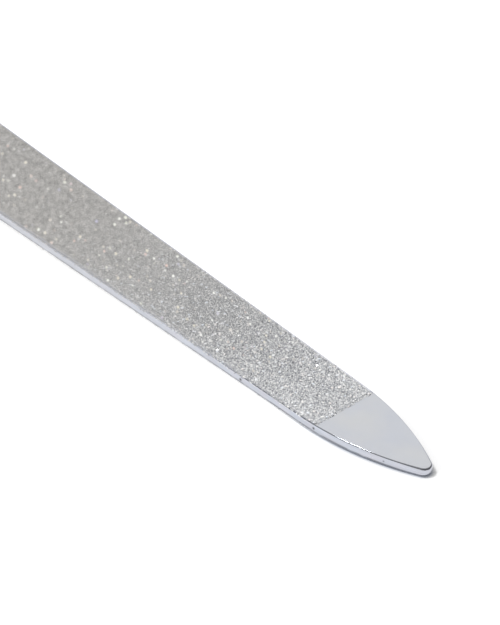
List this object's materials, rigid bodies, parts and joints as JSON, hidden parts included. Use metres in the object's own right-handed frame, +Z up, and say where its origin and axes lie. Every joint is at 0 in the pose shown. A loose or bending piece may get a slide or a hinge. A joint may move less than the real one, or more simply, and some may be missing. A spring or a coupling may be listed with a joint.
{
  "type": "diamond nail file",
  "caption": "Tapered metal nail file with a pointed bare tip, diamond grit on both faces and a slim moulded handle.",
  "frame": {"origin": "under the middle of the file, on the plane of the handle's flat underside", "axes": "+X from the handle towards the blade's pointed nose, +Z up out of the coarse face, +Y across the blade"},
  "size_m": [0.154, 0.015, 0.0051],
  "materials": {
    "chromed_steel": "bright chrome on the sides, satin on the bare tip",
    "coarse_diamond_grit": "sparkling grit held in nickel, coarse",
    "fine_diamond_grit": "sparkling grit held in nickel, fine",
    "handle_plastic": "fine moulded satin"
  },
  "bodies": {
    "root": {"blade_blank": "chromed_steel", "upper_grit_coat": "coarse_diamond_grit", "lower_grit_coat": "fine_diamond_grit", "handle_upper_shell": "handle_plastic", "handle_lower_shell": "handle_plastic"}
  },
  "joints": []
}
